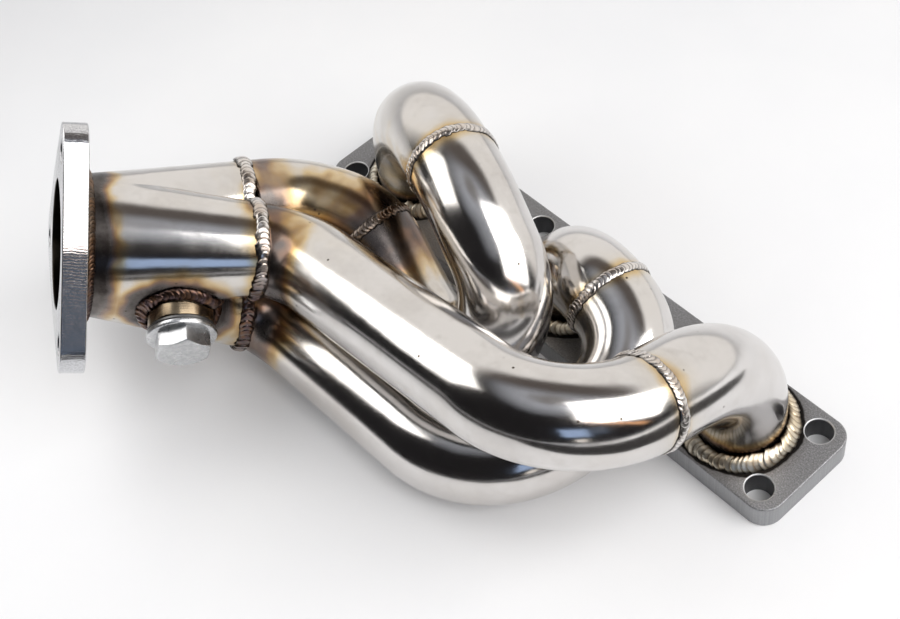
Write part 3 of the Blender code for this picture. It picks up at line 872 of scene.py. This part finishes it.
def milled_material():
    """Bright milled plate: cutter marks round its edge, a fine grain, painted shade in the holes and a
    sooted bore.
    """
    g = Graph("milled_plate")
    place = g.place()
    run = g.attribute("run")
    jitter = g.math("MULTIPLY", g.noise(place, 160.0, 2.0), 3.0)
    marks = g.math("SINE", g.math("MULTIPLY", g.math("ADD", run, jitter), 5.2))
    coarse = g.lines(run, 0.55, 3.0)
    grain = g.noise(place, 1300.0, 3.0, 0.65)
    color = g.ramp(grain, MILLED)
    # painted shade on the bore walls
    color = g.mix(g.math("MULTIPLY", g.attribute("bore"), 0.8), color, PAINTED_BORE_SHADE)
    color = g.mix(g.attribute("soot"), color, SOOT)
    rough = g.math("MULTIPLY_ADD", grain, 0.14, 0.10)
    height = g.math("MULTIPLY", marks, g.math("MULTIPLY_ADD", coarse, 0.8, 0.2))
    ripples = g.bump(height, 0.000012)
    return g.surface(color, rough, 0.98, g.bump(grain, 0.000014, 1.0, ripples))


def zinc_material():
    """Bright zinc plate: fine flecks of two greys, cloudy gloss and faint dents."""
    g = Graph("bright_zinc")
    place = g.place()
    cloud = g.noise(place, 120.0)
    color = g.ramp(g.noise(place, 420.0, 4.0, 0.7), ZINC)
    rough = g.math("MULTIPLY_ADD", cloud, 0.26, 0.16)
    return g.surface(color, rough, 0.97, g.bump(cloud, 0.00022))


def turned_material(name, base, rough):
    """Lathe-turned steel with fine rings round its axis, tinted by heat towards its weld."""
    g = Graph(name)
    rings = g.lines(g.attribute("axial"), 3.0, 4.0)
    color = g.ramp(g.attribute("scorch"), [(0.0, base), *TURNED_TINTS])
    roughness = g.math("MULTIPLY_ADD", rings, 0.14, rough)
    turned = g.bump(rings, 0.00003)
    dents = g.bump(g.noise(g.place(), 140.0), 0.00006, 1.0, turned)
    return g.surface(color, roughness, 1.0, dents)


def floor_material():
    g = Graph("pale_floor")
    place = g.place()
    color = g.ramp(g.noise(place, 6.0, 4.0), FLOOR)
    g.feed(g.shader, {"Specular IOR Level": 0.2})
    return g.surface(color, 0.75, 0.0, g.bump(g.noise(place, 160.0, 4.0), 0.0001, 0.3))


# ------------------------------------------------------------------ welds
LINES = {k: centreline(runner) for k, runner in RUNNERS.items()}


def bung_saddle(radius, lift):
    """Where a cylinder round the bung's axis meets the collector, with directions out of the corner."""
    rings = {}
    ring_step = 0.5 * MM
    pts = []
    ups = []
    for a in circle_angles(120):
        du, dv = radius * math.cos(a), radius * math.sin(a)
        level = round((INLET_BACK - BUNG_BACK + du) / ring_step)
        if level not in rings:
            rings[level] = lobed_ring(LINES, level * ring_step, 0.0, 720)
        start = BUNG_BASE + OUT_N * du + BUNG_ACROSS * dv
        rel = rings[level] - np.array(start)
        heights = rel @ np.array(BUNG_DIR)
        far_side = heights < -5 * MM
        nearest = (np.abs(rel @ np.array(BUNG_ACROSS)) + 1e3 * far_side).argmin()
        out = OUT_N * math.cos(a) + BUNG_ACROSS * math.sin(a)
        pts.append(start + BUNG_DIR * (heights[nearest] + lift))
        ups.append((BUNG_DIR * 0.8 + out * 0.6).normalized())
    return to_array(pts), to_array(ups)


def make_beads():
    """Lays the ten weld beads, and notes the heat round each of them for the pieces made after them."""
    looks = {key: bead_material(key + "_bead", *look) for key, look in BEAD_LOOKS.items()}
    seeds = itertools.count(FIRST_SEED)

    def lay(name, node, look, path, up, size):
        ring = bead(name, path, up, BEAD_SIZES[size], next(seeds))
        finish_piece(ring, looks[look], node)
        add_heat(path, size)

    for k, cuts in CUTS.items():
        for i, cut in enumerate(cuts):
            path, up = ring_path(*point_on(LINES[k], cut), TUBE_R)
            node = f"runner_{k}_weld" + ("" if i == 0 else "_b")
            look = "smoked" if node == SOOTED_WELD else "silver"
            lay(node + "_ripples", node, look, path, up, "runner")
            if node == SOOTED_WELD:
                add_heat(path, "soot")
    for k, x in PORT_X.items():
        foot = Vector((x, 0.0, HEAD_T)) + SHIFT
        path, up = ring_path(foot + Vector((0, 0, PORT_BEAD_LIFT)), Vector((0, 0, 1)), PORT_BEAD_R)
        up = unit(up + np.array((0.0, 0.0, 1.0)))
        lay(f"port_{k}_weld_ripples", f"port_{k}_weld", "golden", path, up, "port")
    path, up = lobed_path(LINES, INLET_BEAD_AT, INLET_BEAD_LIFT)
    lay("collector_inlet_ripples", "collector_inlet_weld", "silver", path, up, "inlet")
    add_heat(path - np.array(OUT_N) * MERGE_HEAT_BACK, "merge")
    path, up = lobed_path(LINES, COLLECTOR_L - OUTLET_BEAD_BACK, OUTLET_BEAD_LIFT)
    up = unit(up - np.array(OUT_N))
    lay("outlet_ripples", "outlet_weld", "scorched", path, up, "outlet")
    path, up = bung_saddle(BUNG_R + BUNG_BEAD_OUT, BUNG_BEAD_LIFT)
    lay("bung_ripples", "bung_weld", "burnt", path, up, "bung")


# ------------------------------------------------------------------ tubes and collector
def tube_grid(line):
    """Rings of points along a line: the tube's outside, then its inside on the way back."""
    a, b = carried_frames(line)
    angles = circle_angles(TUBE_SIDES)
    ring = np.cos(angles)[None, :, None] * a[:, None] + np.sin(angles)[None, :, None] * b[:, None]
    outer = line[:, None] + TUBE_R * ring
    inner = line[:, None] + (TUBE_R - TUBE_WALL) * ring
    return np.concatenate([outer, inner[::-1]], axis=0)


def square_end(grid, rows, cut, plane, before):
    """Moves the last points of a tube onto the plane of its saw cut, half a gap short of it."""
    centre, direction = (np.array(v) for v in plane)
    near = np.abs(rows - cut) < 4 * MM
    off = (grid[near] - centre) @ direction
    past = np.maximum(off + GAP / 2, 0) if before else np.minimum(off - GAP / 2, 0)
    grid[near] -= past[..., None] * direction


def finish_tube(name, grid, rows, streaks, mat, node, hole_radius=None):
    """A tube whose points carry what its material reads: the place along and round it, and the heat."""
    angles = circle_angles(grid.shape[1])
    along = np.repeat(rows[:, None] / MM, len(angles), axis=1)
    around = np.repeat(np.cos(angles)[None, :] * streaks, len(rows), axis=0)
    scorch = heat_at(grid.reshape(-1, 3))
    tube = grid_object(name, grid, {"along": along, "around": around, "scorch": scorch})
    if hole_radius:
        drill(tube, hole_radius)
    finish_piece(tube, mat, node)


def make_tubes():
    mat = tube_material("polished_tube", 0.0)
    for k, names in TUBE_NAMES.items():
        line = LINES[k]
        near_inlet = slice(-40, None)
        depths = past_outlet(line)[near_inlet]
        last = np.interp(INLET_LAP - INLET_BACK, depths, arc_lengths(line)[near_inlet])
        edges = [0.0]
        for cut in CUTS[k]:
            edges += [cut - GAP / 2, cut + GAP / 2]
        edges.append(last)
        for i, name in enumerate(names):
            piece = between(line, edges[2 * i], edges[2 * i + 1])
            s = edges[2 * i] + arc_lengths(piece)
            rows = np.concatenate([s, s[::-1]])
            grid = tube_grid(piece)
            if name == names[-1]:
                over = past_outlet(grid) + INLET_BACK - INLET_CLEAR
                grid = grid - np.maximum(over, 0)[..., None] * np.array(OUT_N)
            for cut in CUTS[k]:
                square_end(grid, rows, cut, point_on(line, cut), s.mean() < cut)
            finish_tube(name + "_tube", grid, rows, TUBE_STREAKS, mat, name)


def make_collector():
    """A hollow shell that follows the merging pipes, drilled for the bung."""
    sides = 240
    levels = np.linspace(0.4 * MM, COLLECTOR_L - 0.2 * MM, 56)
    outer = [lobed_ring(LINES, level, 0.0, sides) for level in levels]
    inner = [lobed_ring(LINES, level, -TUBE_WALL, sides) for level in levels]
    grid = np.array(outer + inner[::-1])
    rows = np.concatenate([levels, levels[::-1]])
    mat = tube_material("satin_collector", 0.005)
    finish_tube("collector_shell", grid, rows, COLLECTOR_STREAKS, mat, "collector", BUNG_R + GAP)


def drill(obj, radius):
    """Cuts the round hole that the bung sits in, through one wall."""
    profile = [(0.0, DRILL_FROM), (radius, DRILL_FROM), (radius, DRILL_TO), (0.0, DRILL_TO)]
    cutter = turned_object("bung_drill", profile, BUNG_PLACE)
    cut = obj.modifiers.new("drill", "BOOLEAN")
    cut.operation = "DIFFERENCE"
    cut.solver = "EXACT"
    cut.object = cutter
    bpy.context.view_layer.update()
    mesh = bpy.data.meshes.new_from_object(obj.evaluated_get(bpy.context.evaluated_depsgraph_get()))
    obj.modifiers.clear()
    obj.data = mesh
    mesh.set_sharp_from_angle(angle=math.radians(75))
    bpy.data.objects.remove(cutter)


# ------------------------------------------------------------------ flanges
def make_head_flange():
    holes = [(PORT_PITCH * i, 0.0, TUBE_R - TUBE_WALL) for i in (-1, 0, 1)]
    for sx in (-1, 1):
        for sy in (-1, 1):
            holes.append((sx * HEAD_BOLT_X, sy * HEAD_BOLT_Y, HEAD_BOLT_R))
            holes.append((sx * HEAD_MID_X, sy * HEAD_MID_Y, HEAD_BOLT_R))
    outline = densified(rounded_rectangle(HEAD_L, HEAD_W, HEAD_CORNER_R), 4 * MM)
    head = plate_object("head_flange_plate", outline, holes, HEAD_T, HEAD_EDGE, Matrix.Translation(SHIFT))
    finish_piece(head, blasted_material(), "head_flange")


def make_outlet_flange():
    holes = [(0.0, 0.0, OUT_BORE_R)]
    for lobe in range(3):
        a = math.radians(90 + 120 * lobe)
        holes.append((OUT_PITCH_R * math.cos(a), OUT_PITCH_R * math.sin(a), OUT_BOLT_R))
    place = axes_at(OUT_C - OUT_N * OUT_T, OUT_W.cross(OUT_N), OUT_W, OUT_N)
    outline = densified(three_lobe_outline(), 2 * MM)
    outlet = plate_object("outlet_flange_plate", outline, holes, OUT_T, OUT_EDGE, place)
    off = coordinates(outlet) - np.array(OUT_C)
    off -= np.outer(off @ np.array(OUT_N), np.array(OUT_N))
    add_attribute(outlet, "soot", (np.linalg.norm(off, axis=1) < OUT_BORE_R + 0.1 * MM).astype(float))
    finish_piece(outlet, milled_material(), "outlet_flange")


# ------------------------------------------------------------------ bung, washer and plug
BUNG_PLACE = axes_at(BUNG_BASE, OUT_N, BUNG_ACROSS, BUNG_DIR)


def turned_piece(name, profile, heated):
    """A turned piece whose points carry their height on the axis, for fine rings, and the weld's heat."""
    obj = turned_object(name, profile, BUNG_PLACE)
    co = coordinates(obj)
    add_attribute(obj, "axial", (co - np.array(BUNG_BASE)) @ np.array(BUNG_DIR) / MM)
    add_attribute(obj, "scorch", heat_at(co) if heated else np.zeros(len(co)))
    return obj


def make_bung():
    c = BUNG_EDGE
    profile = [
        (BUNG_BORE_R, BUNG_ROOT),
        (BUNG_R, BUNG_ROOT),
        (BUNG_R, BUNG_TOP - 1.2 * c),
        (BUNG_R - 0.4 * c, BUNG_TOP - 0.4 * c),
        (BUNG_R - 1.2 * c, BUNG_TOP),
        (BUNG_BORE_R + c, BUNG_TOP),
        (BUNG_BORE_R, BUNG_TOP - c),
    ]
    bung = turned_piece("sensor_bung_turned", profile, True)
    finish_piece(bung, turned_material("bung_steel", BUNG_STEEL, 0.14), "sensor_bung")


def make_washer():
    bottom = BUNG_TOP + GAP
    top = bottom + WASHER_T
    profile = [
        (PLUG_SHANK_R + GAP, bottom),
        (WASHER_R - WASHER_EDGE, bottom),
        (WASHER_R, bottom + WASHER_EDGE),
        (WASHER_R, top - WASHER_EDGE),
        (WASHER_R - WASHER_EDGE, top),
        (PLUG_SHANK_R + GAP, top),
    ]
    washer = turned_piece("sealing_washer_turned", profile, False)
    mat = turned_material("washer_metal", WASHER_METAL, 0.38)
    finish_piece(washer, mat, "sealing_washer", "plug_slider")


def make_plug():
    """A flange on a shank with rings of the thread's pitch, and the hexagon head as a second mesh."""
    under = BUNG_TOP + GAP + WASHER_T + GAP
    top = under + PLUG_FLANGE_T
    profile = [
        (0.0, top),
        (PLUG_FLANGE_R - 1.0 * MM, top),
        (PLUG_FLANGE_R - 0.3 * MM, top - 0.3 * MM),
        (PLUG_FLANGE_R, top - 0.9 * MM),
        (PLUG_FLANGE_R, under + 0.4 * MM),
        (PLUG_FLANGE_R - 0.4 * MM, under),
    ]
    z = under
    while z > BUNG_ROOT + 2.5 * MM:
        profile += [
            (PLUG_SHANK_R, z - 0.15 * PLUG_THREAD),
            (PLUG_SHANK_R - 0.55 * PLUG_THREAD, z - 0.5 * PLUG_THREAD),
            (PLUG_SHANK_R, z - 0.85 * PLUG_THREAD),
        ]
        z -= PLUG_THREAD
    profile += [(PLUG_SHANK_R - 1.0 * MM, BUNG_ROOT + PLUG_TIP), (0.0, BUNG_ROOT + PLUG_TIP)]
    zinc = zinc_material()
    body = turned_object("bung_plug_turned", profile, BUNG_PLACE)
    finish_piece(body, zinc, "bung_plug", "plug")
    hex_bottom, hex_top = top - 0.1 * MM, top + PLUG_HEX_H
    head = hexagon_object("bung_plug_hexagon", PLUG_HEX_AF, hex_bottom, hex_top, PLUG_TURN, BUNG_PLACE)
    finish_piece(head, zinc, "bung_plug", "plug")


# ------------------------------------------------------------------ studio
def soft_light(name, azimuth, elevation, distance, size, radiance, color, roll):
    """A soft light of one radiance, facing the hub from a direction; roll turns it about its own axis."""
    a, e = math.radians(azimuth), math.radians(elevation)
    out = Vector((math.cos(a) * math.cos(e), math.sin(a) * math.cos(e), math.sin(e)))
    light = bpy.data.lights.new(name, "AREA")
    light.shape = "RECTANGLE"
    light.size, light.size_y = size
    light.energy = radiance * math.pi * size[0] * size[1]
    light.color = color
    obj = link_object(name, light)
    turn = out.to_track_quat("Z", "Y") @ Quaternion((0.0, 0.0, 1.0), math.radians(roll))
    obj.matrix_world = Matrix.Translation(STUDIO_HUB + out * distance) @ turn.to_matrix().to_4x4()
    obj.visible_camera = False


def make_floor():
    bm = bmesh.new()
    bmesh.ops.create_grid(bm, x_segments=1, y_segments=1, size=2.5)
    floor = bm_object("floor", bm)
    floor.data.materials.append(floor_material())


def dark_flag(name, centre, size, turn):
    """A dark card beside the set that only shiny surfaces see. One is the edge of the table as it shows in
    them; the card in front is painted shade for the far floor, where the light falls off.
    """
    bm = bmesh.new()
    bmesh.ops.create_grid(bm, x_segments=1, y_segments=1, size=0.5)
    place = Matrix.Translation(centre) @ Matrix.Rotation(math.radians(turn), 4, "Z")
    bm.transform(place @ Matrix.Diagonal((*size, 1.0, 1.0)))
    flag = bm_object(name, bm)
    g = Graph("dark_card_material")
    g.feed(g.shader, {"Base Color": g.ramp(g.noise(g.place(), 30.0), DARK_CARD_TONES), "Roughness": 0.9})
    flag.data.materials.append(g.mat)
    flag.visible_camera = flag.visible_diffuse = flag.visible_shadow = False


def make_room():
    world = bpy.data.worlds.new("studio")
    bpy.context.scene.world = world
    g = Graph(world)
    direction = g.node("TexCoord").outputs["Generated"]
    height = g.node("SeparateXYZ", {0: direction}).outputs[2]
    a = math.radians(WALL_AZIMUTH)
    facing = {0: direction, 1: (math.cos(a), math.sin(a), 0.0)}
    towards = g.node("VectorMath", facing, operation="DOT_PRODUCT").outputs["Value"]
    wall = g.mix(g.remap(height, 0.70, 0.80), WALL, WALL_TOP)
    room = g.mix(g.remap(height, 0.80, 0.97), DARK_ROOM, CEILING)
    seen = g.mix(g.remap(towards, 0.12, 0.38), room, wall)
    seen = g.mix(g.remap(height, 0.975, 0.995), seen, OVERHEAD)
    path = g.node("LightPath").outputs
    seen = g.mix(path["Is Diffuse Ray"], seen, MATT_FILL)
    seen = g.mix(path["Is Camera Ray"], seen, BACKDROP)
    g.feed(g.tree.nodes["Background"], {"Color": seen})


def make_studio():
    for name, light in LIGHTS.items():
        soft_light(name, *light)
    dark_flag("table_edge", Vector((0.46, -0.25, 0.001)), (0.40, 1.0), -4)
    # painted shade: a dark card in front, standing in for the far floor that the lights leave unlit, as
    # shiny surfaces see it
    dark_flag("far_floor_shade_card", Vector((0.0, -0.95, 0.001)), (1.6, 0.8), 0)
    make_room()


# ------------------------------------------------------------------ camera
def make_camera():
    camera = bpy.data.cameras.new("camera")
    camera.sensor_width = 36.0
    camera.lens = CAMERA_LENS
    obj = link_object("camera", camera)
    up = CAMERA_BACK.cross(CAMERA_RIGHT).normalized()
    right = up.cross(CAMERA_BACK).normalized()
    obj.matrix_world = axes_at(CAMERA_AT, right, up, CAMERA_BACK.normalized())
    bpy.context.scene.camera = obj


make_camera()
make_floor()
make_studio()
make_beads()
make_tubes()
make_collector()
make_head_flange()
make_outlet_flange()
make_bung()
make_washer()
make_plug()
bpy.context.scene.view_settings.view_transform = "Standard"
